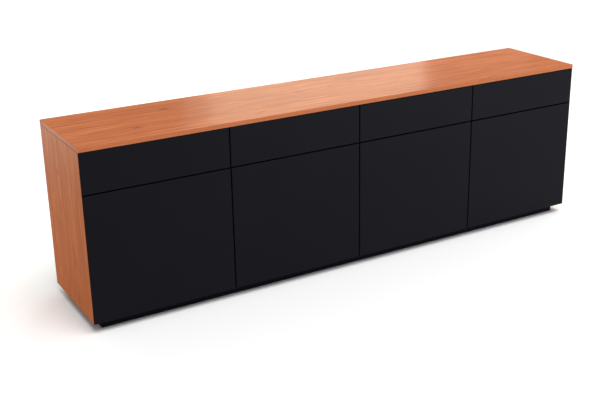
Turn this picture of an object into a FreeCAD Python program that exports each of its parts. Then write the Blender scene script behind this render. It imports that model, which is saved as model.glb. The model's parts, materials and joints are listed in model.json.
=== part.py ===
"""Office credenza: four push-to-open drawers over four push-to-open doors.

Frame: +X along the length, +Y to the back, +Z up. The origin lies on the floor under the middle
of the body. The fronts and the top panel share one front plane, at y = -overall_depth / 2.
Upright 0 is the left end panel, uprights 1 to 3 are the partitions and upright 4 is the right end
panel. Bay 1 is the leftmost bay, between uprights 0 and 1.
"""
import FreeCAD, Part
import os
import re

import Sketcher

BAYS = (1, 2, 3, 4)
SIDES = {"left": 1, "right": -1}
HINGED_RIGHT = (1, 2)
HALF_TURN = 180
SAME_PLACE = 0.01

SIZES = {
    # Body
    "overall_length": 2400, "overall_depth": 450, "overall_height": 740,
    "top_thickness": 18, "end_thickness": 18, "partition_thickness": 18, "floor_thickness": 18,
    "deck_thickness": 18, "back_thickness": 8, "back_recess": 10, "back_lap": 9, "back_play": 0.5,
    "edge_break": 0.5,
    # Plinth and feet
    "plinth_height": 40, "plinth_inset": 40, "plinth_thickness": 18,
    "foot_radius": 15, "foot_pad_height": 5, "foot_stem_radius": 4, "foot_socket_radius": 10,
    "foot_socket_height": 20, "foot_play": 22,
    # Fronts
    "front_thickness": 18, "front_standoff": 5.5, "front_gap": 5, "seam_gap": 6, "top_gap": 3,
    "drawer_front_height": 159, "mitre_gap": 2, "front_edge_break": 1,
    # Drawer boxes
    "box_height": 110, "box_lift": 10, "box_back_room": 12, "box_side": 12, "box_end": 15,
    "drawer_bottom_thickness": 6, "groove_depth": 6, "groove_height": 10, "groove_play": 0.2,
    # Drawer runners
    "runner_setback": 2, "runner_back_room": 14.5, "runner_room": 12.7, "runner_lift": 50,
    "runner_height": 45.6, "runner_sheet": 1.2, "runner_lip": 2.2, "race_gap": 3,
    "middle_depth": 8.6, "middle_offset": 2.4, "middle_shortfall": 20, "drawer_member_depth": 7.8,
    # Cup hinges
    "hinge_end_distance": 100, "pin_inset": 12, "pin_depth": 7.8, "pin_radius": 1.2,
    "pin_play": 0.05, "eye_radius": 2.2, "arm_strip": 1.8, "arm_width": 12, "arc_radius": 16.3,
    "arc_sweep": 98, "tail_strip": 2.6, "tail_length": 38, "tail_width": 16,
    "cup_radius": 17.4, "cup_inset": 21.5, "cup_depth": 13.2, "cup_floor": 0.6, "slot_play": 0.5,
    "pin_bite": 2, "bore_play": 0.1, "flange_length": 62, "flange_width": 21, "flange_thickness": 1,
    "plate_thickness": 2.6, "plate_length": 38, "plate_height": 44, "plate_setback": 1.5,
    # Push latches
    "latch_length": 70, "latch_width": 14, "latch_height": 16, "latch_setback": 2,
    "latch_side_room": 25, "plunger_width": 6, "plunger_play": 0.2, "plunger_length": 64,
    "plunger_head_width": 8, "plunger_head_length": 3, "plunger_gap": 0.3,
    # Shelves and their supports
    "shelf_thickness": 18, "shelf_play": 1, "shelf_front_room": 8, "shelf_back_room": 4,
    "shelf_height": 240, "support_inset": 50, "support_reach": 8, "support_drop": 12,
    "support_width": 12, "support_sheet": 1.5, "support_pin_radius": 2.5, "support_pin_length": 8,
    # Cam fittings
    "cam_radius": 7.5, "cam_depth": 12.5, "cam_play": 0.1, "cam_drop": 34, "cam_inset": 60,
    "cam_bolt_radius": 3, "cam_bolt_bite": 11,
}

document = FreeCAD.newDocument("OfficeCredenza")
sheet = document.addObject("Spreadsheet::Sheet", "Sizes")
for row, (alias, size) in enumerate(SIZES.items(), start=1):
    sheet.set(f"A{row}", alias)
    sheet.set(f"B{row}", str(size))
    sheet.setAlias(f"B{row}", alias)
document.recompute()

# Places that several pieces share, written as expressions of the sheet's sizes.
BAY_WIDTH = "(overall_length / 4)"
FRONT_PLANE = "(-overall_depth / 2)"
FRONT_BACK = f"({FRONT_PLANE} + front_thickness)"
CARCASS_FRONT = f"({FRONT_BACK} + front_standoff)"
CARCASS_BACK = "(overall_depth / 2 - back_recess)"
CARCASS_DEPTH = f"({CARCASS_BACK} - {CARCASS_FRONT})"
TOP_UNDERSIDE = "(overall_height - top_thickness)"
FLOOR_TOP = "(plinth_height + floor_thickness)"
UPRIGHT_HEIGHT = f"({TOP_UNDERSIDE} - {FLOOR_TOP})"
DRAWER_FRONT_LOW = f"({TOP_UNDERSIDE} - top_gap - drawer_front_height)"
DOOR_TOP = f"({DRAWER_FRONT_LOW} - seam_gap)"
DOOR_HEIGHT = f"({DOOR_TOP} - plinth_height)"
DECK_UNDERSIDE = f"({DRAWER_FRONT_LOW} - seam_gap / 2 - deck_thickness / 2)"
DECK_TOP = f"({DECK_UNDERSIDE} + deck_thickness)"
MITRE_OFFSET = "(mitre_gap / sqrt(2))"
RUNNER_FRONT = f"({CARCASS_FRONT} + runner_setback)"
RUNNER_LEVEL = f"({DECK_TOP} + box_lift + runner_lift)"
MIDDLE_HEIGHT = "(runner_height - 2 * (runner_sheet + race_gap))"
DRAWER_MEMBER_HEIGHT = f"({MIDDLE_HEIGHT} - 2 * (runner_sheet + race_gap))"
SHELF_UNDERSIDE = f"({FLOOR_TOP} + shelf_height)"
LATCH_LEVEL = f"({DECK_UNDERSIDE} - latch_height / 2)"
RUNNER_LENGTH = f"({CARCASS_BACK} - {RUNNER_FRONT} - runner_back_room)"
BOX_DEPTH = f"({CARCASS_BACK} - {FRONT_BACK} - box_back_room)"
CUP_BEYOND_PIN = "(cup_inset - pin_inset)"
PIN_BELOW_BACK = "(front_thickness - pin_depth)"

sub_parts = []


# Helpers: expressions, placements and the usual features

def full(expression):
    """The expression with each alias written as the sheet's cell."""
    return re.sub(r"[a-z][a-z_]*[a-z]", lambda word: name_cell(word.group()), expression)


def name_cell(word):
    return f"Sizes.{word}" if word in SIZES else word


def value(expression):
    """What an expression comes to, in millimetres or degrees."""
    return float(sheet.evalExpression(full(expression)))


def bind(thing, prop, expression):
    thing.setExpression(prop, full(expression))


def place(thing, x="0", y="0", z="0", turn=0, about=(0, 1, 0)):
    """Stands a piece at x, y, z, turned by whole degrees about an axis through that point."""
    thing.Placement.Rotation = FreeCAD.Rotation(FreeCAD.Vector(*about), turn)
    for axis, expression in zip("xyz", (x, y, z)):
        bind(thing, f"Placement.Base.{axis}", expression)
    return thing


def new_body(name):
    return document.addObject("PartDesign::Body", name)


def sub_part(thing, label):
    """Gives a finished piece the name under which it is written."""
    thing.Label = label
    sub_parts.append(thing)
    return thing


def group(label, members):
    """One sub-part made of pieces that stay separate solids."""
    compound = document.addObject("Part::Compound", label)
    compound.Links = members
    return sub_part(compound, label)


def origin_feature(body, role):
    return next(feature for feature in body.Origin.OriginFeatures if feature.Role == role)


def new_sketch(body, plane):
    sketch = body.newObject("Sketcher::SketchObject", f"{body.Name}_sketch")
    sketch.AttachmentSupport = [(origin_feature(body, plane), "")]
    sketch.MapMode = "FlatFace"
    return sketch


def hold_point(sketch, geometry, point, x, y):
    """Fixes a point of the sketch at x, y from the sketch's origin."""
    for kind, expression in (("DistanceX", x), ("DistanceY", y)):
        held = Sketcher.Constraint(kind, -1, 1, geometry, point, value(expression))
        bind(sketch, f"Constraints[{sketch.addConstraint(held)}]", expression)


def outline(body, plane, corners):
    """A closed outline of straight edges through the corners, each an x and a y expression."""
    sketch = new_sketch(body, plane)
    points = [FreeCAD.Vector(value(x), value(y), 0) for x, y in corners]
    for start, end in zip(points, points[1:] + points[:1]):
        sketch.addGeometry(Part.LineSegment(start, end), False)
    for edge in range(len(points)):
        following = (edge + 1) % len(points)
        sketch.addConstraint(Sketcher.Constraint("Coincident", edge, 2, following, 1))
    for edge, (x, y) in enumerate(corners):
        hold_point(sketch, edge, 1, x, y)
    return sketch


def rectangle(body, plane, low, high):
    (x0, y0), (x1, y1) = low, high
    return outline(body, plane, [(x0, y0), (x1, y0), (x1, y1), (x0, y1)])


def hexagon(body, plane, radius, x="0", y="0"):
    corners = [(f"{x} + {radius} * cos({angle})", f"{y} + {radius} * sin({angle})")
               for angle in range(0, 360, 60)]
    return outline(body, plane, corners)


def circles(body, plane, radius, centres):
    sketch = new_sketch(body, plane)
    for x, y in centres:
        middle = FreeCAD.Vector(value(x), value(y), 0)
        ring = sketch.addGeometry(Part.Circle(middle, FreeCAD.Vector(0, 0, 1), value(radius)), False)
        hold_point(sketch, ring, 3, x, y)
        size = sketch.addConstraint(Sketcher.Constraint("Radius", ring, value(radius)))
        bind(sketch, f"Constraints[{size}]", radius)
    return sketch


def extrude(body, kind, sketch, length, side="One side", reverse=False):
    """A Pad or a Pocket of the sketch."""
    feature = body.newObject(f"PartDesign::{kind}", f"{body.Name}_{kind.lower()}")
    feature.Profile = sketch
    feature.SideType = side
    feature.Reversed = reverse
    bind(feature, "Length", length)
    return feature


def pad(body, sketch, length, side="One side", reverse=False):
    return extrude(body, "Pad", sketch, length, side, reverse)


def pocket(body, sketch, length, side="One side", reverse=False):
    """A Pocket that has to take material away."""
    document.recompute()
    before = body.Shape.Volume
    feature = extrude(body, "Pocket", sketch, length, side, reverse)
    document.recompute()
    if body.Shape.Volume >= before:
        raise RuntimeError(f"{feature.Name} cuts nothing")
    return feature


def revolve(body, sketch, axis, angle="360", reverse=False):
    feature = body.newObject("PartDesign::Revolution", f"{body.Name}_revolution")
    feature.Profile = sketch
    feature.ReferenceAxis = (origin_feature(body, axis), [""])
    feature.Reversed = reverse
    bind(feature, "Angle", angle)
    return feature


def break_edges(body, base, size, wanted):
    """A small chamfer on the edges whose bounding boxes pass the test."""
    document.recompute()
    names = [f"Edge{number}" for number, edge in enumerate(base.Shape.Edges, start=1)
             if wanted(edge.BoundBox)]
    chamfer = body.newObject("PartDesign::Chamfer", f"{body.Name}_chamfer")
    chamfer.Base = (base, names)
    bind(chamfer, "Size", size)
    return chamfer


def board(name, length, depth, height):
    """A plain board with its origin at the corner that is lowest, leftmost and frontmost."""
    body = new_body(name)
    pad(body, rectangle(body, "XY_Plane", ("0", "0"), (length, depth)), height)
    return body


# Where bays and uprights are

def upright_middle(upright):
    return f"(({upright} - 2) * {BAY_WIDTH})"


def bay_left(bay):
    """The face that bounds the bay on its left."""
    if bay == BAYS[0]:
        return "(-overall_length / 2 + end_thickness)"
    return f"({upright_middle(bay - 1)} + partition_thickness / 2)"


def bay_right(bay):
    if bay == BAYS[-1]:
        return "(overall_length / 2 - end_thickness)"
    return f"({upright_middle(bay)} - partition_thickness / 2)"


def bay_room(bay):
    return f"({bay_right(bay)} - {bay_left(bay)})"


def bay_face(bay, side):
    return bay_left(bay) if side == "left" else bay_right(bay)


def hinge_side(bay):
    return "right" if bay in HINGED_RIGHT else "left"


def free_side(bay):
    return "left" if bay in HINGED_RIGHT else "right"


def side_turn(side):
    """Fittings are drawn for a bay's left face. A half turn suits them to the right one."""
    return 0 if side == "left" else HALF_TURN


# Wooden body

def make_top_panel():
    panel = new_body("top_panel")
    sheet_of_wood = rectangle(panel, "XY_Plane", ("-overall_length / 2", "-overall_depth / 2"),
                              ("overall_length / 2", "overall_depth / 2"))
    slab = pad(panel, sheet_of_wood, "top_thickness")
    break_edges(panel, slab, "edge_break", lambda box: box.ZLength < SAME_PLACE)
    sub_part(place(panel, z=TOP_UNDERSIDE), "top_panel")


def make_end_panel(side):
    """An end panel: its front edge is a mitre, its back edge a rabbet for the back panel.

    The outer face's edges are broken all round, but for the mitre's arris.
    """
    panel = new_body(f"end_panel_{side}")
    outer = f"({-SIDES[side]} * overall_length / 2)"
    inner = f"({outer} + {SIDES[side]} * end_thickness)"
    rabbet = f"({outer} + {SIDES[side]} * (end_thickness - back_lap))"
    corners = [(outer, f"{FRONT_PLANE} + {MITRE_OFFSET}"),
               (inner, f"{FRONT_PLANE} + {MITRE_OFFSET} + end_thickness"),
               (inner, CARCASS_BACK), (rabbet, CARCASS_BACK),
               (rabbet, "overall_depth / 2"), (outer, "overall_depth / 2")]
    blank = pad(panel, outline(panel, "XY_Plane", corners), f"{TOP_UNDERSIDE} - plinth_height")
    face, arris = value(outer), value(corners[0][1])

    def is_outer(box):
        on_face = abs(box.XMin - face) < SAME_PLACE and abs(box.XMax - face) < SAME_PLACE
        return on_face and box.YMax > arris + SAME_PLACE

    break_edges(panel, blank, "edge_break", is_outer)
    sub_part(place(panel, z="plinth_height"), f"end_panel_{side}")


# Distances of a partition's two cams from its front edge.
CAM_PLACES = ("cam_inset", f"({CARCASS_DEPTH} - cam_inset)")


def partition_left(upright):
    return f"({upright_middle(upright)} - partition_thickness / 2)"


def make_partition(upright):
    """A partition, bored for its cams from the side that faces the bay on its left."""
    partition = board(f"partition_{upright}", "partition_thickness", CARCASS_DEPTH, UPRIGHT_HEIGHT)
    centres = [(cam_place, f"{UPRIGHT_HEIGHT} - cam_drop") for cam_place in CAM_PLACES]
    pocket(partition, circles(partition, "YZ_Plane", "cam_radius", centres), "cam_depth", reverse=True)
    place(partition, partition_left(upright), CARCASS_FRONT, FLOOR_TOP)
    sub_part(partition, f"partition_{upright}")


def make_cam(upright, cam_place):
    """A cam disc, flush with the partition's face, and the bolt that it pulls down from the top."""
    cam = new_body(f"cam_{upright}")
    pad(cam, circles(cam, "YZ_Plane", "cam_radius - cam_play", [("0", "0")]), "cam_depth - cam_play")
    pad(cam, hexagon(cam, "XY_Plane", "cam_bolt_radius", x="partition_thickness / 2"),
        "cam_drop + cam_bolt_bite")
    return place(cam, partition_left(upright), f"{CARCASS_FRONT} + {cam_place}",
                 f"{TOP_UNDERSIDE} - cam_drop")


def make_bottom_panel():
    bottom = board("bottom_panel", "overall_length - 2 * end_thickness", CARCASS_DEPTH,
                   "floor_thickness")
    place(bottom, bay_left(1), CARCASS_FRONT, "plinth_height")
    sub_part(bottom, "bottom_panel")


def make_drawer_deck(bay):
    deck = board(f"drawer_deck_{bay}", bay_room(bay), CARCASS_DEPTH, "deck_thickness")
    sub_part(place(deck, bay_left(bay), CARCASS_FRONT, DECK_UNDERSIDE), f"drawer_deck_{bay}")


def make_back_panel(side):
    """Half of the back. The two halves meet on the middle partition's back edge."""
    width = "overall_length / 2 - end_thickness + back_lap - 2 * back_play"
    back = board(f"back_panel_{side}", width, "back_thickness", f"{TOP_UNDERSIDE} - plinth_height")
    left = "back_play"
    if side == "left":
        left = f"-({width}) - back_play"
    sub_part(place(back, left, CARCASS_BACK, "plinth_height"), f"back_panel_{side}")


def make_shelf(bay):
    room = f"{bay_room(bay)} - 2 * shelf_play"
    shelf = board(f"shelf_{bay}", room, f"{CARCASS_DEPTH} - shelf_front_room - shelf_back_room",
                  "shelf_thickness")
    place(shelf, f"{bay_left(bay)} + shelf_play", f"{CARCASS_FRONT} + shelf_front_room",
          SHELF_UNDERSIDE)
    sub_part(shelf, f"adjustable_shelf_{bay}")


def make_shelf_support(bay, side, depth_place):
    """A pressed angle under the shelf, with the pin that holds it in the upright."""
    support = new_body(f"shelf_support_{bay}_{side}")
    angle = [("0", "-support_drop"), ("support_sheet", "-support_drop"),
             ("support_sheet", "-support_sheet"), ("support_reach", "-support_sheet"),
             ("support_reach", "0"), ("0", "0")]
    pad(support, outline(support, "XZ_Plane", angle), "support_width", side="Symmetric")
    pin = hexagon(support, "YZ_Plane", "support_pin_radius", y="-support_drop / 2")
    pad(support, pin, "support_pin_length", reverse=True)
    return place(support, bay_face(bay, side), depth_place, SHELF_UNDERSIDE,
                 turn=side_turn(side), about=(0, 0, 1))


def make_shelf_supports():
    rows = (f"{CARCASS_FRONT} + support_inset", f"{CARCASS_BACK} - support_inset")
    group("shelf_pins", [make_shelf_support(bay, side, row)
                         for bay in BAYS for side in SIDES for row in rows])


# Plinth and feet

PLINTH_LEFT = "(-overall_length / 2 + plinth_inset)"
PLINTH_FRONT = "(-overall_depth / 2 + plinth_inset)"
PLINTH_LENGTH = "(overall_length - 2 * plinth_inset)"
PLINTH_INNER_FRONT = f"({PLINTH_FRONT} + plinth_thickness)"
PLINTH_INNER_DEPTH = f"(-2 * {PLINTH_INNER_FRONT})"


def make_plinth():
    for label, front in (("plinth_front", PLINTH_FRONT), ("plinth_back", f"-{PLINTH_INNER_FRONT}")):
        rail = board(label, PLINTH_LENGTH, "plinth_thickness", "plinth_height")
        sub_part(place(rail, PLINTH_LEFT, front), label)
    ends = []
    for side, left in (("left", PLINTH_LEFT), ("right", f"-{PLINTH_LEFT} - plinth_thickness")):
        end = board(f"plinth_end_{side}", "plinth_thickness", PLINTH_INNER_DEPTH, "plinth_height")
        ends.append(place(end, left, PLINTH_INNER_FRONT))
    group("plinth_ends", ends)
    braces = []
    for upright in (1, 2, 3):
        brace = board(f"plinth_brace_{upright}", "plinth_thickness", PLINTH_INNER_DEPTH, "plinth_height")
        left = f"{upright_middle(upright)} - plinth_thickness / 2"
        braces.append(place(brace, left, PLINTH_INNER_FRONT))
    group("plinth_braces", braces)


def make_foot(name, x, y):
    """A levelling foot: pad on the floor, hexagon stem, and socket under the bottom panel."""
    foot = new_body(name)
    pad(foot, circles(foot, "XY_Plane", "foot_radius", [("0", "0")]), "foot_pad_height")
    pad(foot, hexagon(foot, "XY_Plane", "foot_stem_radius"), "plinth_height")
    socket = hexagon(foot, "XY_Plane", "foot_socket_radius")
    bind(socket, "AttachmentOffset.Base.z", "plinth_height - foot_socket_height")
    pad(foot, socket, "foot_socket_height")
    return place(foot, x, y)


def make_feet():
    """Feet stand inside the plinth's four corners and beside its middle brace."""
    inset = "(plinth_thickness + foot_play)"
    columns = [f"{PLINTH_LEFT} + {inset}", f"{upright_middle(2)} + {inset}",
               f"-{PLINTH_LEFT} - {inset}"]
    rows = [f"{PLINTH_FRONT} + {inset}", f"-{PLINTH_FRONT} - {inset}"]
    feet = [make_foot(f"foot_{column}_{row}", x, y)
            for column, x in enumerate(columns) for row, y in enumerate(rows)]
    group("levelling_feet", feet)


# Fronts

def front_corners(bay):
    """Plan of a front, from the bay's middle. The row's two outer edges are mitred."""
    edge = f"({BAY_WIDTH} / 2 - front_gap / 2)"
    arris = f"({BAY_WIDTH} / 2 - {MITRE_OFFSET})"
    heel = f"({arris} - front_thickness)"
    left_edge = [(f"-{edge}", "front_thickness"), (f"-{edge}", "0")]
    right_edge = [(edge, "0"), (edge, "front_thickness")]
    if bay == BAYS[0]:
        left_edge = [(f"-{heel}", "front_thickness"), (f"-{arris}", "0")]
    if bay == BAYS[-1]:
        right_edge = [(arris, "0"), (heel, "front_thickness")]
    return left_edge + right_edge


def front_panel(name, bay, height):
    """A front with its outer face at y = 0 and the edges of that face broken."""
    panel = new_body(name)
    blank = pad(panel, outline(panel, "XY_Plane", front_corners(bay)), height)
    break_edges(panel, blank, "front_edge_break", lambda box: box.YMax < SAME_PLACE)
    return panel


def bay_middle(bay):
    return f"(({bay} - 2.5) * {BAY_WIDTH})"


def make_drawer_front(bay):
    front = front_panel(f"drawer_front_{bay}", bay, "drawer_front_height")
    sub_part(place(front, bay_middle(bay), FRONT_PLANE, DRAWER_FRONT_LOW), f"drawer_front_{bay}")


def inward_sign(bay):
    """+1 where the door hangs at the bay's left, -1 where it hangs at the right."""
    return SIDES[hinge_side(bay)]


def from_hinge_edge(bay, distance):
    """X of a line at that distance from the door's hinge edge, measured from the bay's middle."""
    return f"({inward_sign(bay)} * ({distance} + front_gap / 2 - {BAY_WIDTH} / 2))"


def hinge_heights():
    """Heights of a door's two hinges above the door's lower edge."""
    return ["hinge_end_distance", f"({DOOR_HEIGHT} - hinge_end_distance)"]


def make_door(bay):
    """A door with two blind bores for hinge cups in its back."""
    door = front_panel(f"door_{bay}", bay, DOOR_HEIGHT)
    centres = [(from_hinge_edge(bay, "cup_inset"), height) for height in hinge_heights()]
    bores = circles(door, "XZ_Plane", "cup_radius + bore_play", centres)
    bind(bores, "AttachmentOffset.Base.z", "-front_thickness")
    pocket(door, bores, "cup_depth + bore_play", reverse=True)
    sub_part(place(door, bay_middle(bay), FRONT_PLANE, "plinth_height"), f"door_{bay}")


# Cup hinges. Cup and arm are drawn from the pin, with +X from the hinge edge into the door.

def pin_x(bay):
    return f"{bay_middle(bay)} + {from_hinge_edge(bay, 'pin_inset')}"


def at_pin(body, bay, height):
    """Stands a hinge piece on its door's pin axis."""
    return place(body, pin_x(bay), f"{FRONT_PLANE} + pin_depth", f"plinth_height + {height}",
                 turn=side_turn(hinge_side(bay)))


def make_hinge_cup(name, bay, height):
    """A cup with its flange on the door's back, a slot for the arm, and the pin across the slot."""
    cup = new_body(name)
    mouth = PIN_BELOW_BACK
    flange = rectangle(cup, "XZ_Plane", (f"{CUP_BEYOND_PIN} - flange_width / 2", "-flange_length / 2"),
                       (f"{CUP_BEYOND_PIN} + flange_width / 2", "flange_length / 2"))
    bind(flange, "AttachmentOffset.Base.z", f"-{mouth}")
    pad(cup, flange, "flange_thickness", reverse=True)
    drum = circles(cup, "XZ_Plane", "cup_radius", [(CUP_BEYOND_PIN, "0")])
    bind(drum, "AttachmentOffset.Base.z", f"-{mouth}")
    pad(cup, drum, "cup_depth")
    half_width = "(arm_width / 2 + slot_play)"
    slot = rectangle(cup, "XZ_Plane", ("-eye_radius - slot_play", f"-{half_width}"),
                     ("arc_radius + arm_strip + slot_play", half_width))
    bind(slot, "AttachmentOffset.Base.z", f"cup_depth - cup_floor - {mouth}")
    pocket(cup, slot, "cup_depth + flange_thickness")
    pin = circles(cup, "XY_Plane", "pin_radius", [("0", "0")])
    pad(cup, pin, f"2 * ({half_width} + pin_bite)", side="Symmetric")
    return at_pin(cup, bay, height)


def make_hinge_arm(name, bay, height):
    """A swan-neck arm: eye on the pin, spoke, arc round the pin, and tail along the partition.

    The arc keeps its distance from the pin, so the door's back edge swings through inside it at
    every angle.
    """
    arm = new_body(name)
    spoke_half = "arm_strip / 2"
    arc_outer = "(arc_radius + arm_strip)"
    pad(arm, circles(arm, "XY_Plane", "eye_radius", [("0", "0")]), "arm_width", side="Symmetric")
    spoke = rectangle(arm, "XY_Plane", ("0", f"-{spoke_half}"), ("arc_radius", spoke_half))
    pad(arm, spoke, "arm_width", side="Symmetric")
    section = rectangle(arm, "XZ_Plane", ("arc_radius", "-arm_width / 2"), (arc_outer, "arm_width / 2"))
    revolve(arm, section, "Z_Axis", "arc_sweep")
    tail_back = "(pin_inset + front_gap / 2 - partition_thickness / 2 - plate_thickness)"
    tail = rectangle(arm, "XY_Plane", (f"-{tail_back}", "arc_radius"),
                     (f"-{tail_back} + tail_strip", "arc_radius + tail_length"))
    pad(arm, tail, "tail_width", side="Symmetric")
    bore = circles(arm, "XY_Plane", "pin_radius + pin_play", [("0", "0")])
    pocket(arm, bore, "2 * arm_width", side="Symmetric")
    return at_pin(arm, bay, height)


def make_hinge_plate(name, bay, height):
    """The mounting plate that carries an arm on the partition's face."""
    side = hinge_side(bay)
    plate = new_body(name)
    low, high = ("0", "-plate_height / 2"), ("plate_thickness", "plate_height / 2")
    flat = rectangle(plate, "XZ_Plane", low, high)
    blank = pad(plate, flat, "plate_length", reverse=True)
    break_edges(plate, blank, "plate_thickness / 2", lambda box: box.XMin > SAME_PLACE)
    return place(plate, bay_face(bay, side), f"{CARCASS_FRONT} + plate_setback",
                 f"plinth_height + {height}", turn=side_turn(side))


def make_hinges():
    arms = []
    plates = []
    for bay in BAYS:
        cups = []
        for level, height in enumerate(hinge_heights()):
            cups.append(make_hinge_cup(f"hinge_cup_{bay}_{level}", bay, height))
            arms.append(make_hinge_arm(f"hinge_arm_{bay}_{level}", bay, height))
            plates.append(make_hinge_plate(f"hinge_plate_{bay}_{level}", bay, height))
        group(f"hinge_cups_{bay}", cups)
    group("hinge_arms", arms)
    group("hinge_plates", plates)


# Push latches

def latch_x(bay):
    side = free_side(bay)
    return f"{bay_face(bay, side)} + {SIDES[side]} * latch_side_room"


def square(body, half):
    """A square in the latch's cross-section, round its axis."""
    return rectangle(body, "XZ_Plane", (f"-({half})", f"-({half})"), (half, half))


def make_latch_housing(name, bay):
    """A block under the deck, hollow from the front for its plunger."""
    housing = new_body(name)
    half_width = "latch_width / 2"
    half_height = "latch_height / 2"
    block = rectangle(housing, "XZ_Plane", (f"-{half_width}", f"-{half_height}"),
                      (half_width, half_height))
    pad(housing, block, "latch_length", reverse=True)
    pocket(housing, square(housing, "plunger_width / 2 + plunger_play"), "latch_length - latch_width / 2")
    return place(housing, latch_x(bay), f"{CARCASS_FRONT} + latch_setback", LATCH_LEVEL)


def make_latch_plunger(bay):
    """A plunger whose head stands just behind the closed door."""
    plunger = new_body(f"latch_plunger_{bay}")
    pad(plunger, square(plunger, "plunger_head_width / 2"), "plunger_head_length", reverse=True)
    pad(plunger, square(plunger, "plunger_width / 2"), "plunger_length", reverse=True)
    place(plunger, latch_x(bay), f"{FRONT_BACK} + plunger_gap", LATCH_LEVEL)
    sub_part(plunger, f"latch_plunger_{bay}")


# Drawer runners, drawn from the bay's left face with +X towards the drawer

def channel(name, web, depth, height, lip, length):
    """A rolled channel: web at `web`, flanges of that depth (negative: towards the upright)."""
    body = new_body(name)
    half = f"({height} / 2)"
    inner = f"({half} - runner_sheet)"
    sign = "-" if depth.startswith("-") else ""
    sheet_step = f"{sign}runner_sheet"
    rim = f"{web} + {depth}"
    lip_inner = f"({half} - {lip})"
    upper = [(web, half), (rim, half), (rim, lip_inner), (f"{rim} - {sheet_step}", lip_inner),
             (f"{rim} - {sheet_step}", inner), (f"{web} + {sheet_step}", inner)]
    lower = [(x, f"-{y}") for x, y in reversed(upper)]
    pad(body, outline(body, "XZ_Plane", upper + lower), length, reverse=True)
    return body


def runner_piece(name, bay, side, web, depth, height, length):
    piece = channel(name, web, depth, height, "runner_lip", length)
    return place(piece, bay_face(bay, side), RUNNER_FRONT, RUNNER_LEVEL, turn=side_turn(side))


def make_runners():
    """Three nested channels at each side of each drawer."""
    cabinet = []
    for bay in BAYS:
        middle = []
        drawer = []
        for side in SIDES:
            tail = f"{bay}_{side}"
            cabinet.append(runner_piece(f"cabinet_member_{tail}", bay, side, "0",
                                        "middle_offset + middle_depth", "runner_height",
                                        RUNNER_LENGTH))
            middle.append(runner_piece(f"middle_member_{tail}", bay, side, "middle_offset",
                                       "middle_depth", MIDDLE_HEIGHT,
                                       f"{RUNNER_LENGTH} - middle_shortfall"))
            drawer.append(runner_piece(f"drawer_member_{tail}", bay, side, "runner_room",
                                       "-drawer_member_depth", DRAWER_MEMBER_HEIGHT,
                                       RUNNER_LENGTH))
        group(f"runner_middle_members_{bay}", middle)
        group(f"runner_drawer_members_{bay}", drawer)
    group("runner_cabinet_members", cabinet)


# Drawer boxes

def box_left(bay):
    return f"({bay_left(bay)} + runner_room)"


def box_width(bay):
    return f"({bay_room(bay)} - 2 * runner_room)"


BOX_LOW = f"({DECK_TOP} + box_lift)"


def grooved_section(thickness):
    """Section of a box board whose inside face, at +X, has the groove for the bottom."""
    groove_top = "(groove_height + drawer_bottom_thickness + 2 * groove_play)"
    root = f"({thickness} - groove_depth - groove_play)"
    return [("0", "0"), (thickness, "0"), (thickness, "groove_height"), (root, "groove_height"),
            (root, groove_top), (thickness, groove_top), (thickness, "box_height"),
            ("0", "box_height")]


def make_box_side(bay, side):
    """A side over the box's whole depth."""
    board_body = new_body(f"box_side_{bay}_{side}")
    inward = SIDES[side]
    corners = [(f"{inward} * {x}", y) for x, y in grooved_section("box_side")]
    pad(board_body, outline(board_body, "XZ_Plane", corners), BOX_DEPTH, reverse=True)
    left = box_left(bay) if side == "left" else f"{box_left(bay)} + {box_width(bay)}"
    return place(board_body, left, FRONT_BACK, BOX_LOW)


def make_box_end(bay, end):
    """The board behind the front, or the box's back. Both stand between the sides."""
    board_body = new_body(f"box_{end}_{bay}")
    inward = 1 if end == "subfront" else -1
    corners = [(f"{inward} * {x}", y) for x, y in grooved_section("box_end")]
    pad(board_body, outline(board_body, "YZ_Plane", corners), f"{box_width(bay)} - 2 * box_side")
    front = FRONT_BACK if end == "subfront" else f"{FRONT_BACK} + {BOX_DEPTH}"
    return place(board_body, f"{box_left(bay)} + box_side", front, BOX_LOW)


def make_drawer_box(bay):
    boards = [make_box_side(bay, side) for side in SIDES]
    boards += [make_box_end(bay, end) for end in ("subfront", "back")]
    group(f"drawer_box_{bay}", boards)


def make_drawer_bottom(bay):
    """The bottom slides in the grooves of all four boards."""
    bottom = board(f"drawer_bottom_{bay}", f"{box_width(bay)} - 2 * (box_side - groove_depth)",
                   f"{BOX_DEPTH} - 2 * (box_end - groove_depth)", "drawer_bottom_thickness")
    place(bottom, f"{box_left(bay)} + box_side - groove_depth",
          f"{FRONT_BACK} + box_end - groove_depth", f"{BOX_LOW} + groove_height + groove_play")
    sub_part(bottom, f"drawer_bottom_{bay}")


def make_everything():
    make_top_panel()
    make_bottom_panel()
    for side in SIDES:
        make_end_panel(side)
        make_back_panel(side)
    for upright in (1, 2, 3):
        make_partition(upright)
    make_plinth()
    make_feet()
    group("cam_fittings", [make_cam(upright, cam_place) for upright in (1, 2, 3)
                           for cam_place in CAM_PLACES])
    make_shelf_supports()
    make_runners()
    make_hinges()
    group("latch_housings", [make_latch_housing(f"latch_housing_{bay}", bay) for bay in BAYS])
    for bay in BAYS:
        make_drawer_deck(bay)
        make_shelf(bay)
        make_drawer_front(bay)
        make_drawer_box(bay)
        make_drawer_bottom(bay)
        make_door(bay)
        make_latch_plunger(bay)


def write_sub_parts():
    """Checks every object and writes each sub-part's solids to parts/."""
    document.recompute()
    failed = [thing.Name for thing in document.Objects
              if "Invalid" in thing.State or "Error" in thing.State]
    if failed:
        raise RuntimeError(f"failed objects: {failed}")
    bad = [thing.Label for thing in sub_parts if thing.Shape.isNull() or not thing.Shape.isValid()]
    if bad:
        raise RuntimeError(f"bad shapes: {bad}")
    os.makedirs("parts", exist_ok=True)
    for thing in sub_parts:
        thing.Shape.exportStep(os.path.join("parts", f"{thing.Label}.step"))


make_everything()
write_sub_parts()
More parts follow.
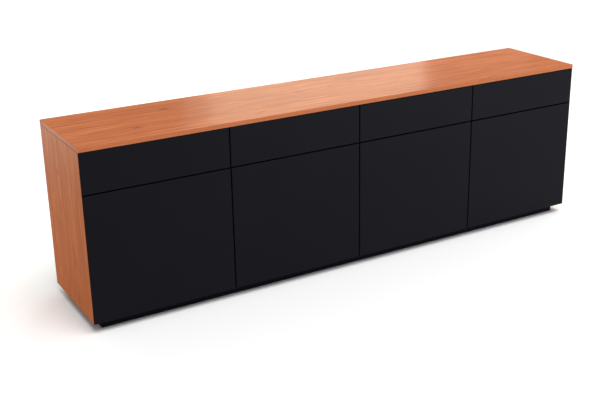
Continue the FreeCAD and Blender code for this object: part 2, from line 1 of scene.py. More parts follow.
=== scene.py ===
"""Looks of the office credenza: materials, small fittings, camera and light.

Everything is in metres in the frame of the CAD model: +X along the length, +Y to the back, +Z up,
with the origin on the floor under the middle of the body.
"""

import json
import math

import bmesh
import bpy
from mathutils import Matrix, Vector


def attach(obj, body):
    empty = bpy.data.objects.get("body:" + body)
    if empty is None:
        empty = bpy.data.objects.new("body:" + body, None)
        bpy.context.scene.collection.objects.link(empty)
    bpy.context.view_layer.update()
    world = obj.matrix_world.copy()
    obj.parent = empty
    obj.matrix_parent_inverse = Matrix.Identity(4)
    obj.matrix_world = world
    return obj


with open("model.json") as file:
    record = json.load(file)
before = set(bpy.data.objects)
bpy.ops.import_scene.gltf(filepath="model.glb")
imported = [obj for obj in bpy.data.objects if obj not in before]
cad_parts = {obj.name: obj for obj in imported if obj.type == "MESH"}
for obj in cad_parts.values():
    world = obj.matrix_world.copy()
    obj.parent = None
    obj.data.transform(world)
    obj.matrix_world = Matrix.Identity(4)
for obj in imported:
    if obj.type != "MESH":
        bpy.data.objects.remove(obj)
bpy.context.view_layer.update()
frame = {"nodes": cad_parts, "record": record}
nodes = frame["nodes"]
scene = bpy.context.scene

# The photograph's frame, in pixels, and the camera that saw it.
PHOTO_WIDTH, PHOTO_HEIGHT = 607, 400
FOCAL_PIXELS = 1015.1
PRINCIPAL_X, PRINCIPAL_Y = 329.8, 190.8
CAMERA_PLACE = Vector((-2.237, -3.624, 1.821))
CAMERA_AZIMUTH, CAMERA_ELEVATION, CAMERA_ROLL = 31.56, 19.95, -0.49
SENSOR_WIDTH = 36.0

BAYS = (1, 2, 3, 4)
X_AXIS, Z_AXIS = 0, 2


# Shader nodes

NOISE_RANGE = (0.3, 0.7)
# Width of a worn edge, and the cosine of the turn from the face where it is most worn and where
# the wear ends.
WORN_WIDTH = 0.0012
WORN_TURN = (0.75, 0.98)


class Nodes:
    """A short way to write a material's node tree."""

    def __init__(self, name):
        self.material = bpy.data.materials.new(name)
        self.material.use_nodes = True
        self.tree = self.material.node_tree
        self.shader = self.tree.nodes["Principled BSDF"]

    def add(self, kind, settings=None, **inputs):
        """Adds a node. Each input is a value or the output socket of another node."""
        node = self.tree.nodes.new(f"ShaderNode{kind}")
        for name, setting in (settings or {}).items():
            setattr(node, name, setting)
        for name, source in inputs.items():
            self.feed(node.inputs[name.replace("_", " ")], source)
        return node

    def feed(self, socket, source):
        """Links the source to the socket, or sets the socket to it where it is a value."""
        if isinstance(source, bpy.types.NodeSocket):
            self.tree.links.new(source, socket)
        else:
            socket.default_value = source

    def place(self):
        """The point on the piece, in metres."""
        return self.add("TexCoord").outputs["Object"]

    def stretched(self, scale):
        """The point on the piece, scaled along each axis."""
        return self.add("Mapping", Vector=self.place(), Scale=scale).outputs["Vector"]

    def noise(self, vector, scale, detail=3.0, roughness=0.5):
        texture = self.add("TexNoise", Vector=vector, Scale=scale, Detail=detail,
                           Roughness=roughness)
        return texture.outputs["Fac"]

    def ramp(self, factor, stops):
        """A colour ramp through (position, colour) stops."""
        ramp = self.add("ValToRGB", Fac=factor)
        elements = ramp.color_ramp.elements
        while len(elements) < len(stops):
            elements.new(0.5)
        for element, (position, colour) in zip(elements, stops):
            element.position = position
            element.color = (*colour, 1)
        return ramp.outputs["Color"]

    def two_tone(self, noise, dark, light):
        """The colour ramp from dark to light over the noise's range."""
        return self.ramp(noise, list(zip(NOISE_RANGE, (dark, light))))

    def mix(self, factor, first, second, blend="MIX"):
        """The first colour with the second over it, by the factor."""
        node = self.add("Mix", {"data_type": "RGBA", "blend_type": blend})
        # The Mix node has sockets of the same names for each data type: these are the colours'.
        self.feed(node.inputs[0], factor)
        self.feed(node.inputs[6], first)
        self.feed(node.inputs[7], second)
        return node.outputs[2]

    def span(self, value, low, high, to_low, to_high, smooth=False):
        """Value between low and high, brought to between to_low and to_high."""
        kind = "SMOOTHSTEP" if smooth else "LINEAR"
        node = self.add("MapRange", {"interpolation_type": kind}, Value=value)
        for socket, number in zip(node.inputs[1:5], (low, high, to_low, to_high)):
            socket.default_value = number
        return node.outputs[0]

    def spread(self, noise, low, high):
        """Noise, which lies mostly in NOISE_RANGE, brought to between low and high."""
        return self.span(noise, *NOISE_RANGE, low, high)

    def number(self, operation, first, second):
        node = self.add("Math", {"operation": operation})
        self.feed(node.inputs[0], first)
        self.feed(node.inputs[1], second)
        return node.outputs[0]

    def vector(self, operation, first, second=(0, 0, 0)):
        node = self.add("VectorMath", {"operation": operation})
        self.feed(node.inputs[0], first)
        self.feed(node.inputs["Scale" if operation == "SCALE" else 1], second)
        return node.outputs["Value" if operation in ("LENGTH", "DOT_PRODUCT") else "Vector"]

    def face_normal(self):
        return self.add("NewGeometry").outputs["True Normal"]

    def facing(self, axis):
        """How squarely the face looks along the axis, one way or the other: 0 to 1."""
        return self.vector("LENGTH", self.vector("MULTIPLY", self.face_normal(), axis))

    def grey(self, value):
        """The colour that is `value` in red, green and blue."""
        return self.add("CombineColor", Red=value, Green=value, Blue=value).outputs["Color"]

    def worn_edge(self, most):
        """How worn the surface is: `most` at a sharp edge, with gaps, and 0 on a face."""
        rounded = self.add("Bevel", {"samples": 4}, Radius=WORN_WIDTH).outputs["Normal"]
        flat = self.add("NewGeometry").outputs["Normal"]
        turn = self.vector("DOT_PRODUCT", rounded, flat)
        wear = self.span(turn, *WORN_TURN, most, 0.0)
        gaps = self.span(self.noise(self.place(), 60, detail=3), 0.4, 0.62, 0.2, 1.0)
        return self.number("MULTIPLY", wear, gaps)

    def bump(self, height, strength, distance):
        node = self.add("Bump", Height=height, Strength=strength, Distance=distance)
        return node.outputs["Normal"]

    def surface(self, **inputs):
        """Feeds the material's Principled BSDF, and returns the material."""
        for name, source in inputs.items():
            self.feed(self.shader.inputs[name.replace("_", " ")], source)
        return self.material


# Materials

# The veneer's colours, linear as all colours here.
WOOD_DARK = (0.352, 0.092, 0.027)
WOOD_MID = (0.474, 0.134, 0.042)
WOOD_LIGHT = (0.590, 0.182, 0.062)
WOOD_LIPPING = (0.475, 0.149, 0.057)
WOOD_END = (0.425, 0.098, 0.022)
WOOD_EYE = (0.235, 0.060, 0.020)
WOOD_FLECK = (0.68, 0.25, 0.10)
# Colour of the joint line: the glue line with painted shade of its groove.
JOINT_SHADOW = (0.19, 0.050, 0.018)
# Near-black colour for the slanted faces behind the fronts' gaps.
MITRE_NEAR_BLACK = (0.012, 0.008, 0.006)
# How strongly the eyes, flecks, lipping, joint line and worn edges cover the veneer.
EYE_COVER, FLECK_COVER, LIPPING_COVER = 0.75, 0.8, 0.9
JOINT_COVER, WORN_COVER = 0.75, 0.5

# Underside of the top panel, and half the width of the joint line: its core and its rim.
JOINT_HEIGHT = 0.722
JOINT_CORE, JOINT_RIM = 0.0013, 0.0028

# Small eyes in the veneer: the middle of each and how far its swirl reaches. An eye is longer
# along the grain by 1 / EYE_SHORTEN, and draws the grain in by up to EYE_PULL of the way. Its
# heart is darkest up to EYE_CORE of the reach, and ends at EYE_RIM of it.
EYE_SHORTEN, EYE_PULL = 0.4, 0.85
EYE_CORE, EYE_RIM = 0.12, 0.42
TOP_EYES = (((-0.731, 0.100, 0.74), 0.034), ((-0.922, -0.091, 0.74), 0.026),
            ((-0.142, 0.039, 0.74), 0.020), ((0.027, 0.053, 0.74), 0.018))
END_EYES = (((-1.2, 0.050, 0.574), 0.018), ((-1.2, -0.064, 0.092), 0.016),
            ((-1.2, -0.070, 0.239), 0.016))
# Pale flecks: the middle of each and its reach along the grain, FLECK_LENGTH times its width.
FLECK_LENGTH = 8.0
TOP_FLECKS = (((-0.635, -0.082, 0.74), 0.035), ((-0.399, -0.082, 0.74), 0.050),
              ((-0.719, -0.032, 0.74), 0.030), ((0.296, -0.083, 0.74), 0.035),
              ((0.566, -0.074, 0.74), 0.030), ((0.658, -0.051, 0.74), 0.030),
              ((0.764, -0.073, 0.74), 0.030), ((0.938, 0.062, 0.74), 0.035),
              ((1.139, 0.089, 0.74), 0.020), ((-0.282, -0.104, 0.74), 0.030),
              ((-0.194, -0.067, 0.74), 0.035))
END_FLECKS = (((-1.2, 0.000, 0.635), 0.020), ((-1.2, -0.047, 0.200), 0.020))


def axes(along, along_share, across_share):
    """A vector with one share on the axis that the grain follows and another on the other two."""
    return [along_share if axis == along else across_share for axis in range(3)]


def round_eyes(build, point, along, eyes):
    """The point shifted so that the grain flows round the eyes, and how near an eye's heart is."""
    shorten = axes(along, EYE_SHORTEN, 1.0)
    across = axes(along, 0.0, EYE_PULL)
    bent, heart = point, 0.0
    for middle, reach in eyes:
        away = build.vector("SUBTRACT", middle, point)
        distance = build.vector("LENGTH", build.vector("MULTIPLY", away, shorten))
        pull = build.span(distance, 0.0, reach, 1.0, 0.0, smooth=True)
        shift = build.vector("MULTIPLY", away, across)
        bent = build.vector("ADD", bent, build.vector("SCALE", shift, pull))
        core = build.span(distance, EYE_CORE * reach, EYE_RIM * reach, 1.0, 0.0, smooth=True)
        heart = build.number("MAXIMUM", heart, core)
    return bent, heart


def near_flecks(build, point, along, flecks):
    """1 in the middle of a fleck, 0 beyond it."""
    widen = axes(along, 1.0, FLECK_LENGTH)
    nearest = 0.0
    for middle, reach in flecks:
        away = build.vector("MULTIPLY", build.vector("SUBTRACT", middle, point), widen)
        pale = build.span(build.vector("LENGTH", away), 0.0, reach, 1.0, 0.0, smooth=True)
        nearest = build.number("MAXIMUM", nearest, pale)
    return nearest


def joint_line(build):
    """The thin dark line where the top panel sits on an end panel, seen from the side: a glue
    line, with painted shade for the groove along it.
    """
    height = build.add("SeparateXYZ", Vector=build.place()).outputs["Z"]
    distance = build.number("ABSOLUTE", build.number("SUBTRACT", height, JOINT_HEIGHT), 0.0)
    line = build.span(distance, JOINT_CORE, JOINT_RIM, JOINT_COVER, 0.0)
    sideways = build.span(build.facing((1, 0, 0)), 0.6, 0.7, 0.0, 1.0)
    return build.number("MULTIPLY", line, sideways)


def mitred_face(build):
    """The slanted faces that meet the fronts: darkened to near black, so no wood shows through the
    gaps.
    """
    # A face at 45 degrees to the front looks 0.71 along Y.
    frontward = build.facing((0, 1, 0))
    slanted = build.number("MULTIPLY", build.span(frontward, 0.60, 0.66, 0.0, 1.0),
                           build.span(frontward, 0.76, 0.82, 1.0, 0.0))
    # Its normal points back towards the middle of the body.
    from_middle = build.vector("MULTIPLY", build.place(), (1, 0, 1))
    outward = build.vector("DOT_PRODUCT", build.face_normal(), from_middle)
    return build.number("MULTIPLY", slanted, build.span(outward, -0.5, -0.4, 1.0, 0.0))


def cherry(name, along, eyes, flecks, gloss):
    """Lacquered cherry veneer. `along` is the axis that the grain follows, gloss the lacquer."""
    build = Nodes(name)
    point, heart = round_eyes(build, build.place(), along, eyes)
    sway = build.spread(build.noise(build.place(), 1.6, detail=2), -0.014, 0.014)
    point = build.vector("ADD", point, build.vector("SCALE", axes(along, 0.0, 1.0), sway))

    def lengthwise(scale, reach, detail, roughness=0.55):
        """Noise, `scale` features a metre across the grain, `reach` times as long along it."""
        shrunk = build.vector("MULTIPLY", point, axes(along, 1.0 / reach, 1.0))
        return build.noise(shrunk, scale, detail, roughness)

    # Each pattern is a factor on the veneer's brightness.
    broad = build.spread(lengthwise(5, reach=4, detail=2), 0.96, 1.04)
    streaks = build.spread(lengthwise(34, reach=26, detail=4, roughness=0.65), 0.87, 1.13)
    dark_lines = build.span(lengthwise(100, reach=50, detail=2), 0.55, 0.70, 1.0, 0.74)
    light_lines = build.span(lengthwise(80, reach=22, detail=2), 0.56, 0.70, 1.0, 1.30)
    fibre = lengthwise(420, reach=32, detail=3, roughness=0.7)
    fibres = build.spread(fibre, 0.90, 1.10)
    shade = build.number("MULTIPLY", broad, streaks)
    for pattern in (dark_lines, light_lines, fibres):
        shade = build.number("MULTIPLY", shade, pattern)
    colour = build.ramp(build.span(shade, 0.75, 1.25, 0.0, 1.0),
                        [(0.0, WOOD_DARK), (0.5, WOOD_MID), (1.0, WOOD_LIGHT)])
    colour = build.mix(build.number("MULTIPLY", heart, EYE_COVER), colour, (*WOOD_EYE, 1))
    pale = build.number("MULTIPLY", near_flecks(build, point, along, flecks), FLECK_COVER)
    colour = build.mix(pale, colour, (*WOOD_FLECK, 1))
    # Lipping covers the front and back edges and the ends of the grain.
    for faces, lipping in ((axes(along, 1.0, 0.0), WOOD_END), ((0, 1, 0), WOOD_LIPPING)):
        strip = build.mix(1.0, (*lipping, 1), build.grey(fibres), "MULTIPLY")
        covered = build.span(build.facing(faces), 0.85, 0.95, 0.0, LIPPING_COVER)
        colour = build.mix(covered, colour, strip)
    colour = build.mix(joint_line(build), colour, (*JOINT_SHADOW, 1))
    colour = build.mix(mitred_face(build), colour, (*MITRE_NEAR_BLACK, 1))
    colour = build.mix(build.worn_edge(WORN_COVER), colour, (*WOOD_LIGHT, 1))
    return build.surface(
        Base_Color=colour, Roughness=build.spread(fibre, 0.36, 0.44),
        Normal=build.bump(fibre, 0.10, 0.0003), Specular_IOR_Level=0.0,
        Coat_Weight=gloss, Coat_Roughness=0.20)


def black_front():
    """Matt black lacquer with a faint orange peel."""
    build = Nodes("black_front")
    cloud = build.noise(build.place(), 3, detail=2)
    peel = build.noise(build.place(), 900, detail=2)
    colour = build.two_tone(cloud, (0.0030, 0.0031, 0.0056), (0.0036, 0.0037, 0.0064))
    colour = build.mix(build.worn_edge(0.25), colour, (0.008, 0.008, 0.010, 1))
    return build.surface(
        Base_Color=colour, Roughness=build.spread(peel, 0.44, 0.52),
        Normal=build.bump(peel, 0.05, 0.0002), Specular_IOR_Level=0.07)


def board(name, dark, light, roughness, gloss):
    """Melamine-faced board with a finely printed grain. Gloss is its specular level."""
    build = Nodes(name)
    grain = build.noise(build.place(), 260, detail=4, roughness=0.65)
    colour = build.ramp(grain, [(0.35, dark), (0.65, light)])
    return build.surface(
        Base_Color=colour, Roughness=build.spread(grain, roughness - 0.05, roughness + 0.08),
        Normal=build.bump(grain, 0.08, 0.0002), Specular_IOR_Level=gloss)


def metal(name, dark, light, roughness):
    """Plated steel with faint rolling marks along Y."""
    build = Nodes(name)
    marks = build.noise(build.stretched((1, 0.04, 1)), 900, detail=3, roughness=0.6)
    return build.surface(
        Base_Color=build.two_tone(marks, dark, light), Metallic=1.0,
        Roughness=build.spread(marks, roughness - 0.06, roughness + 0.08))


def plastic(name, dark, light):
    """Moulded plastic with a fine, eroded grain."""
    build = Nodes(name)
    grain = build.noise(build.place(), 1400, detail=2)
    return build.surface(
        Base_Color=build.two_tone(grain, dark, light), Roughness=build.spread(grain, 0.42, 0.55),
        Normal=build.bump(grain, 0.15, 0.0002), Specular_IOR_Level=0.4)


def make_materials():
    """The materials by name."""
    return {
        "cherry_along_x": cherry("cherry_along_x", X_AXIS, TOP_EYES, TOP_FLECKS, gloss=0.15),
        "cherry_upright": cherry("cherry_upright", Z_AXIS, END_EYES, END_FLECKS, gloss=0.10),
        "black_front": black_front(),
        "black_plinth": board("black_plinth", dark=(0.0034, 0.0034, 0.0050),
                              light=(0.0048, 0.0048, 0.0068), roughness=0.6, gloss=0.05),
        "carcass_board": board("carcass_board", dark=(0.052, 0.052, 0.056),
                               light=(0.076, 0.076, 0.081), roughness=0.5, gloss=0.2),
        "drawer_board": board("drawer_board", dark=(0.27, 0.27, 0.28),
                              light=(0.33, 0.33, 0.34), roughness=0.5, gloss=0.25),
        "zinc_steel": metal("zinc_steel", dark=(0.50, 0.51, 0.53), light=(0.66, 0.67, 0.69),
                            roughness=0.34),
        "plated_steel": metal("plated_steel", dark=(0.55, 0.53, 0.50),
                              light=(0.72, 0.70, 0.66), roughness=0.24),
        "black_plastic": plastic("black_plastic", dark=(0.012, 0.012, 0.012),
                                 light=(0.02, 0.02, 0.02)),
        "grey_plastic": plastic("grey_plastic", dark=(0.20, 0.20, 0.21),
                                light=(0.27, 0.27, 0.28)),
    }


def dress_nodes():
    """Each CAD node gets the material of its slot. Cherry follows the board's own grain."""
    grain = {"top_panel": "cherry_along_x", "end_panel_left": "cherry_upright",
             "end_panel_right": "cherry_upright"}
    for part in frame["record"]["subparts"]:
        name = grain.get(part["node"], part["material_slot"])
        mesh = nodes[part["node"]].data
        mesh.materials.clear()
        mesh.materials.append(materials[name])


# Small fittings

# X of the faces of the uprights that look into each bay, and of the bay's middle.
BAY_LEFT = {1: -1.182, 2: -0.591, 3: 0.009, 4: 0.609}
BAY_RIGHT = {1: -0.609, 2: -0.009, 3: 0.591, 4: 1.182}
BAY_PITCH = 0.6
BAY_MIDDLE = {bay: BAY_PITCH * bay - 2.5 * BAY_PITCH for bay in BAYS}
# The bays whose door hangs on the right, and the bays with a cam in the face on their right.
HINGED_RIGHT = (1, 2)
CAM_BAYS = (1, 2, 3)
# Heights of a door's two hinges and of the runners' middle.
HINGE_HEIGHTS = (0.140, 0.454)
RUNNER_HEIGHT = 0.626

# Radius and height of each kind of screw head, of a cam's cross and of a spare hole's disc.
PLATE_SCREW = (0.0042, 0.0013)
ARM_SCREW = (0.0034, 0.001)
CUP_SCREW = (0.0036, 0.0011)
CABINET_MEMBER_SCREW = (0.0034, 0.0008)
DRAWER_MEMBER_SCREW = (0.0034, 0.0012)
FRONT_SCREW = (0.0042, 0.0014)
LATCH_SCREW = (0.0032, 0.0012)
BACK_SCREW = (0.0032, 0.0011)
CAM_CROSS = (0.0070, 0.0005)
SHELF_HOLE = (0.0026, 0.0001)
DISC_SIDES = 14


class Fittings:
    """Small pieces of one finish that ride together, gathered in one mesh."""

    def __init__(self):
        self.mesh = bmesh.new()

    def loft(self, place, normal, rings):
        """Joins rings of points (across, across, along the normal), and closes both ends."""
        place, normal = Vector(place), Vector(normal)
        first = Vector((0, 0, 1)) if abs(normal.z) < 0.5 else Vector((1, 0, 0))
        second = normal.cross(first)
        loops = [[self.mesh.verts.new(place + a * first + b * second + c * normal)
                  for a, b, c in points] for points in rings]
        for lower, upper in zip(loops, loops[1:]):
            for index, corner in enumerate(lower):
                following = (index + 1) % len(lower)
                self.mesh.faces.new((corner, lower[following], upper[following], upper[index]))
        self.mesh.faces.new(loops[-1])
        self.mesh.faces.new(reversed(loops[0]))

    def screw(self, place, normal, size):
        """A low head, rounded at its rim, with a cross recess."""
        radius, height = size
        arm, half = 0.52 * radius, 0.15 * radius
        quarter = [(arm, -half), (arm, half), (half, half)]
        cross = list(quarter)
        for _ in range(3):
            quarter = [(-y, x) for x, y in quarter]
            cross += quarter

        def ring(reach, level):
            return [(reach * x / math.hypot(x, y), reach * y / math.hypot(x, y), level)
                    for x, y in cross]

        mouth = [(x, y, height) for x, y in cross]
        pit = [(0.75 * x, 0.75 * y, 0.2 * height) for x, y in cross]
        self.loft(place, normal, [ring(radius, 0), ring(0.97 * radius, 0.5 * height),
                                  ring(0.80 * radius, height), mouth, pit])

    def disc(self, place, normal, size):
        """A low disc with a chamfered rim."""
        radius, height = size
        turns = [math.tau * side / DISC_SIDES for side in range(DISC_SIDES)]
        rings = [[(reach * math.cos(turn), reach * math.sin(turn), level) for turn in turns]
                 for reach, level in ((radius, 0), (0.9 * radius, height))]
        self.loft(place, normal, rings)

    def strip(self, place, length, width, thickness):
        """A strip along Y from `place`, its ends tapered. Width runs along X."""
        def ring(share, level):
            across, up = share * width / 2, share * thickness / 2
            return [(up, across, level), (-up, across, level), (-up, -across, level),
                    (up, -across, level)]

        taper = 0.004
        self.loft(place, (0, 1, 0), [ring(0.6, 0), ring(1, taper), ring(1, length - taper),
                                     ring(0.6, length)])

    def ball(self, place, radius):
        bmesh.ops.create_uvsphere(self.mesh, u_segments=8, v_segments=6, radius=radius,
                                  matrix=Matrix.Translation(place))

    def finish(self, name, slot, body):
        """Makes the pieces one object, which rides with the body."""
        bmesh.ops.recalc_face_normals(self.mesh, faces=self.mesh.faces)
        mesh = bpy.data.meshes.new(name)
        self.mesh.to_mesh(mesh)
        self.mesh.free()
        mesh.materials.append(materials[slot])
        piece = bpy.data.objects.new(name, mesh)
        scene.collection.objects.link(piece)
        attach(piece, body)


def hinge_wall(bay):
    """X of the partition face that carries the bay's hinges, and the way into the bay."""
    return (BAY_RIGHT[bay], -1) if bay in HINGED_RIGHT else (BAY_LEFT[bay], 1)


def latch_wall(bay):
    """X of the face across the bay from its hinges, and the way into the bay."""
    return (BAY_LEFT[bay], 1) if bay in HINGED_RIGHT else (BAY_RIGHT[bay], -1)


def bay_walls(bay):
    """X of the faces on the bay's left and right, each with the way into the bay."""
    return ((BAY_LEFT[bay], 1), (BAY_RIGHT[bay], -1))


def fit_hinge_screws():
    """Two screws through each plate and two on each arm's tail, and two in each cup's flange."""
    # How far these lie from the partition's face, and their places along Y and Z.
    plate_face, arm_face, cup_middle = 0.0026, 0.0052, 0.0150
    plate_depth, flange_face = -0.181, -0.2060
    plate_rise, cup_rise = 0.015, 0.0245
    plates = Fittings()
    for bay in BAYS:
        wall, inward = hinge_wall(bay)
        cups = Fittings()
        for height in HINGE_HEIGHTS:
            for side in (-1, 1):
                plates.screw((wall + inward * plate_face, plate_depth, height + side * plate_rise),
                             (inward, 0, 0), PLATE_SCREW)
                cups.screw((wall + inward * cup_middle, flange_face, height + side * cup_rise),
                           (0, 1, 0), CUP_SCREW)
            for depth in (-0.190, -0.171):
                plates.screw((wall + inward * arm_face, depth, height), (inward, 0, 0), ARM_SCREW)
        cups.finish(f"hinge_cup_screws_{bay}", "plated_steel", f"door_{bay}")
    plates.finish("hinge_plate_screws", "plated_steel", "carcass")


def fit_runner_screws():
    """Flat screws in the runners' cabinet members and drawer members."""
    cabinet_face, drawer_face = 0.0012, 0.0115
    fixed = Fittings()
    for bay in BAYS:
        moving = Fittings()
        for wall, inward in bay_walls(bay):
            for depth in (-0.172, -0.030, 0.150):
                fixed.screw((wall + inward * cabinet_face, depth, RUNNER_HEIGHT),
                            (inward, 0, 0), CABINET_MEMBER_SCREW)
            for depth in (-0.182, -0.060, 0.160):
                moving.screw((wall + inward * drawer_face, depth, RUNNER_HEIGHT),
                             (-inward, 0, 0), DRAWER_MEMBER_SCREW)
        moving.finish(f"drawer_member_screws_{bay}", "zinc_steel", f"drawer_{bay}")
    fixed.finish("cabinet_member_screws", "zinc_steel", "carcass")


def fit_ball_cages():
    """Rows of balls in their cages between the three members of each runner."""
    cage_length, cage_width, cage_thickness = 0.172, 0.0020, 0.0006
    ball_pitch, ball_radius, balls = 0.018, 0.00145, 8
    # Outer and inner cage: from the wall, from the runner's middle, and the front end's Y.
    rows = ((0.0065, 0.0201, 0.010), (0.0078, 0.0159, -0.185))
    for bay in BAYS:
        cages = Fittings()
        for wall, inward in bay_walls(bay):
            for side in (-1, 1):
                for offset, lift, start in rows:
                    x = wall + inward * offset
                    z = RUNNER_HEIGHT + side * lift
                    cages.strip((x, start, z), cage_length, cage_width, cage_thickness)
                    for step in range(1, balls + 1):
                        cages.ball((x, start + step * ball_pitch, z), ball_radius)
        cages.finish(f"ball_cages_{bay}", "zinc_steel", f"runner_middle_{bay}")


def fit_front_screws():
    """Four screws inside each drawer, through the box's front into the black front."""
    from_middle, box_front_face = 0.19, -0.192
    for bay in BAYS:
        screws = Fittings()
        for side in (-1, 1):
            for height in (0.612, 0.664):
                screws.screw((BAY_MIDDLE[bay] + side * from_middle, box_front_face, height),
                             (0, 1, 0), FRONT_SCREW)
        screws.finish(f"front_screws_{bay}", "zinc_steel", f"drawer_{bay}")


def fit_latch_screws():
    """Two screws under each push latch's housing."""
    latch_middle, latch_underside = 0.025, 0.532
    screws = Fittings()
    for bay in BAYS:
        wall, inward = latch_wall(bay)
        for depth in (-0.186, -0.143):
            screws.screw((wall + inward * latch_middle, depth, latch_underside), (0, 0, -1),
                         LATCH_SCREW)
    screws.finish("latch_screws", "zinc_steel", "carcass")


def fit_back_screws():
    """Screws down the sides and the middle of the two back panels, into the uprights."""
    back_face = 0.223
    screws = Fittings()
    for x in (-1.1865, -0.6, -0.0055, 0.0055, 0.6, 1.1865):
        for height in (0.075, 0.225, 0.375, 0.525, 0.675):
            screws.screw((x, back_face, height), (0, 1, 0), BACK_SCREW)
    screws.finish("back_screws", "zinc_steel", "carcass")


def fit_shelf_holes():
    """Spare holes, four above and four below each shelf support, 32 mm apart."""
    support_height, pitch = 0.292, 0.032
    holes = Fittings()
    for bay in BAYS:
        for wall, inward in bay_walls(bay):
            for depth in (-0.1515, 0.165):
                for step in (-4, -3, -2, -1, 1, 2, 3, 4):
                    holes.disc((wall, depth, support_height + pitch * step), (inward, 0, 0),
                               SHELF_HOLE)
    holes.finish("shelf_holes", "black_plastic", "carcass")


def fit_cam_crosses():
    """The cross by which each cam is turned."""
    cam_height = 0.688
    crosses = Fittings()
    for bay in CAM_BAYS:
        for depth in (-0.1415, 0.155):
            crosses.screw((BAY_RIGHT[bay], depth, cam_height), (-1, 0, 0), CAM_CROSS)
    crosses.finish("cam_crosses", "zinc_steel", "carcass")


# Camera, floor and light

# Light from the surroundings and from the sky lamp, as the brightness of a white surface.
AMBIENT = 0.38
SKY_LIGHT = 0.75
SKY_DIRECTION = Vector((-0.05, 0.34, -1))
SKY_SPREAD = math.radians(50)
# The lamps' colours.
WARM = (1.0, 0.97, 0.83)
GOLDEN = (1.0, 0.96, 0.77)
COOL = (0.94, 0.97, 1.10)
FLOOR_REACH = 30.0
FLOOR_COLOUR = (0.95, 0.95, 0.95)

# The row of lamps behind the top: its middle, its direction, the way from a lamp's target to the
# lamp, the lamps' height, and for each lamp the way along the row, the width and the radiance.
BACK_MIDDLE = Vector((1.67, 3.0, 1.65))
BACK_ALONG = Vector((0.942, -0.336, 0))
BACK_FROM_TARGET = Vector((1.07, 3.0, 0.7))
BACK_HEIGHT = 1.4
BACK_LAMPS = ((-0.89, 0.20, 2.1), (-0.62, 0.34, 5.4), (0.24, 1.38, 5.8), (1.38, 0.90, 0.7))
# The stack of lamps beside the left end, from the floor up: the lowest one's height, the step
# to the next, and the radiances.
LEFT_LOWEST, LEFT_STEP = 0.05, 0.085
LEFT_RADIANCES = (0.9, 1.2, 2.0, 3.0, 4.6)


def make_camera():
    """The camera that saw the photograph."""
    azimuth = math.radians(CAMERA_AZIMUTH)
    elevation = math.radians(CAMERA_ELEVATION)
    roll = math.radians(CAMERA_ROLL)
    forward = Vector((math.sin(azimuth) * math.cos(elevation),
                      math.cos(azimuth) * math.cos(elevation), -math.sin(elevation)))
    level = Vector((math.cos(azimuth), -math.sin(azimuth), 0))
    upright = level.cross(forward)
    right = math.cos(roll) * level + math.sin(roll) * upright
    up = -math.sin(roll) * level + math.cos(roll) * upright
    data = bpy.data.cameras.new("camera")
    data.sensor_width = SENSOR_WIDTH
    data.lens = FOCAL_PIXELS / PHOTO_WIDTH * SENSOR_WIDTH
    data.shift_x = (PHOTO_WIDTH / 2 - PRINCIPAL_X) / PHOTO_WIDTH
    data.shift_y = (PRINCIPAL_Y - PHOTO_HEIGHT / 2) / PHOTO_WIDTH
    camera = bpy.data.objects.new("camera", data)
    scene.collection.objects.link(camera)
    turn = Matrix((right, up, -forward)).transposed()
    camera.matrix_world = Matrix.Translation(CAMERA_PLACE) @ turn.to_4x4()
    scene.camera = camera


def seen_directly(tree):
    """1 for camera, glossy and transmission rays, which see the background itself."""
    path = tree.nodes.new("ShaderNodeLightPath")
    total = path.outputs["Is Camera Ray"]
    for name in ("Is Glossy Ray", "Is Transmission Ray"):
        either = tree.nodes.new("ShaderNodeMath")
        either.operation = "MAXIMUM"
        tree.links.new(total, either.inputs[0])
        tree.links.new(path.outputs[name], either.inputs[1])
        total = either.outputs[0]
    return total


def make_world():
    """A white background, which lights the object by AMBIENT only."""
    world = bpy.data.worlds.new("studio")
    world.use_nodes = True
    scene.world = world
    tree = world.node_tree
    background = tree.nodes["Background"]
    background.inputs["Color"].default_value = (1, 1, 1, 1)
    strength = tree.nodes.new("ShaderNodeMapRange")
    tree.links.new(seen_directly(tree), strength.inputs["Value"])
    strength.inputs["To Min"].default_value = AMBIENT
    strength.inputs["To Max"].default_value = 1.0
    tree.links.new(strength.outputs[0], background.inputs["Strength"])


def make_floor():
    """A plain white floor, wide enough to fill every view."""
    mesh = bpy.data.meshes.new("floor")
    corners = [(x * FLOOR_REACH, y * FLOOR_REACH, 0)
               for x, y in ((-1, -1), (1, -1), (1, 1), (-1, 1))]
    mesh.from_pydata(corners, [], [(0, 1, 2, 3)])
    floor = bpy.data.objects.new("floor", mesh)
    scene.collection.objects.link(floor)
    mesh.materials.append(Nodes("floor").surface(
        Base_Color=(*FLOOR_COLOUR, 1), Roughness=1.0, Specular_IOR_Level=0.0))


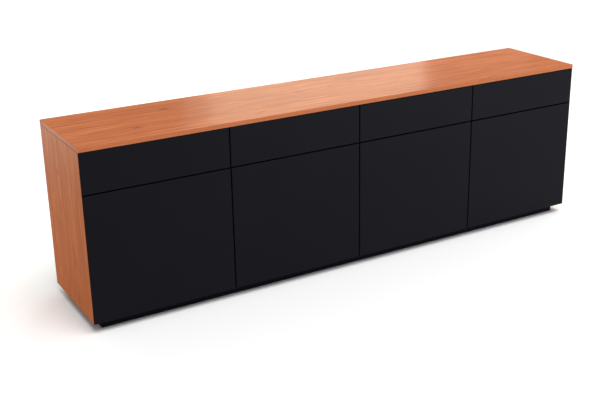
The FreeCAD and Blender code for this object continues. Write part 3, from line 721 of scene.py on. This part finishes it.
def make_softbox(name, place, target, size, radiance, colour):
    """A rectangular lamp. A white surface that fills its view would look `radiance` bright."""
    data = bpy.data.lights.new(name, "AREA")
    data.shape = "RECTANGLE"
    data.size, data.size_y = size
    data.energy = radiance * math.pi * size[0] * size[1]
    data.color = colour
    lamp = bpy.data.objects.new(name, data)
    scene.collection.objects.link(lamp)
    lamp.location = place
    lamp.rotation_euler = (Vector(target) - Vector(place)).to_track_quat("-Z", "Y").to_euler()


def make_sky_light():
    """A wide, even light from high up, a little to the right and to the front."""
    data = bpy.data.lights.new("sky_light", "SUN")
    data.energy = SKY_LIGHT * math.pi
    data.angle = SKY_SPREAD
    lamp = bpy.data.objects.new("sky_light", data)
    scene.collection.objects.link(lamp)
    lamp.rotation_euler = SKY_DIRECTION.to_track_quat("-Z", "Y").to_euler()


def make_lights():
    make_sky_light()
    # A bright panel behind the top, which the lacquer mirrors, dimmer towards its edges.
    for aside, width, radiance in BACK_LAMPS:
        place = BACK_MIDDLE + aside * BACK_ALONG
        make_softbox(f"back_light_{aside}", place, place - BACK_FROM_TARGET,
                     (width, BACK_HEIGHT), radiance, GOLDEN)
    # A low panel beside the left end, dimmer towards the floor.
    for step, radiance in enumerate(LEFT_RADIANCES):
        height = LEFT_LOWEST + LEFT_STEP * step
        make_softbox(f"low_left_light_{step}", place=(-1.57, 1.25, height),
                     target=(-1.2, 0.3, height + 0.1), size=(0.8, LEFT_STEP),
                     radiance=radiance, colour=WARM)
    make_softbox("right_front_light", place=(1.9, -2.9, 0.6), target=(0.7, -0.2, 0.45),
                 size=(3.0, 1.0), radiance=2.6, colour=COOL)
    make_softbox("right_top_light", place=(3.2, 0.3, 2.4), target=(1.0, 0, 0.74),
                 size=(1.2, 1.2), radiance=1.9, colour=WARM)


materials = make_materials()
dress_nodes()
fit_hinge_screws()
fit_runner_screws()
fit_ball_cages()
fit_front_screws()
fit_latch_screws()
fit_back_screws()
fit_shelf_holes()
fit_cam_crosses()
make_camera()
make_world()
make_floor()
make_lights()
scene.view_settings.view_transform = "Standard"
